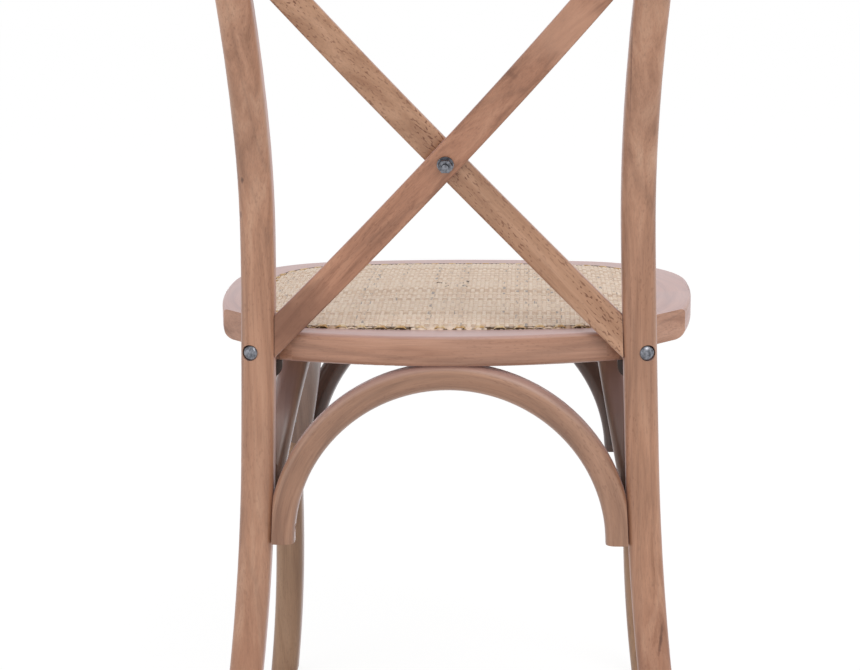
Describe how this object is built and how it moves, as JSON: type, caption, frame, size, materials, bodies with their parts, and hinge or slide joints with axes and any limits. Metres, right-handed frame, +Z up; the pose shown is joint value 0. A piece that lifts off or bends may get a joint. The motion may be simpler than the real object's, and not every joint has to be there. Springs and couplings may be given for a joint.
{
  "type": "cross back dining chair",
  "caption": "Bentwood dining chair with a rounded hoop back, crossed laths, woven rattan seat panel and arched leg braces.",
  "frame": {"origin": "on the floor, under the middle of the chair's overall box", "axes": "+Z up, +Y towards the back of the chair, +X to the sitter's left"},
  "size_m": [0.48, 0.5099, 0.89],
  "materials": {
    "back_hoop": "stained beech, worn satin lacquer",
    "cross_slat_rear": "stained beech, worn satin lacquer",
    "cross_slat_front": "stained beech, worn satin lacquer",
    "seat_rear_rail": "stained beech, worn satin lacquer",
    "seat_side_rail_left": "stained beech, worn satin lacquer",
    "seat_side_rail_right": "stained beech, worn satin lacquer",
    "seat_front_rail": "stained beech, worn satin lacquer",
    "seat_bearer_left": "stained beech, worn satin lacquer",
    "seat_bearer_right": "stained beech, worn satin lacquer",
    "panel_board": "stained beech, worn satin lacquer",
    "front_leg_left": "stained beech, worn satin lacquer",
    "front_leg_right": "stained beech, worn satin lacquer",
    "rear_arch": "stained beech, worn satin lacquer",
    "front_arch": "stained beech, worn satin lacquer",
    "side_arch_left": "stained beech, worn satin lacquer",
    "side_arch_right": "stained beech, worn satin lacquer",
    "seat_dowels": "stained beech, worn satin lacquer",
    "slat_pins": "stained beech, worn satin lacquer",
    "cane": "woven split rattan, matt",
    "bracket_paint": "dark satin paint",
    "bolt_zinc": "dark zinc",
    "nut_steel": "plain",
    "screw_steel": "zinc",
    "glide_plastic": "matt"
  },
  "bodies": {
    "root": {"back_hoop": "back_hoop", "cross_slat_rear": "cross_slat_rear", "cross_slat_front": "cross_slat_front", "seat_rear_rail": "seat_rear_rail", "seat_side_rail_left": "seat_side_rail_left", "seat_side_rail_right": "seat_side_rail_right", "seat_front_rail": "seat_front_rail", "seat_bearer_left": "seat_bearer_left", "seat_bearer_right": "seat_bearer_right", "panel_board": "panel_board", "front_leg_left": "front_leg_left", "front_leg_right": "front_leg_right", "rear_arch": "rear_arch", "front_arch": "front_arch", "side_arch_left": "side_arch_left", "side_arch_right": "side_arch_right", "seat_dowels": "seat_dowels", "slat_pins": "slat_pins", "cane_panel": "cane", "corner_brackets": "bracket_paint", "foot_glides": "glide_plastic", "hoop_bolts": "bolt_zinc", "hoop_bolt_nuts": "nut_steel", "cross_bolt": "bolt_zinc", "cross_washers": "bolt_zinc", "cross_nut": "bolt_zinc", "bracket_screws": "screw_steel", "arch_end_screws": "screw_steel", "arch_top_screws": "screw_steel", "panel_screws": "screw_steel"}
  },
  "joints": []
}
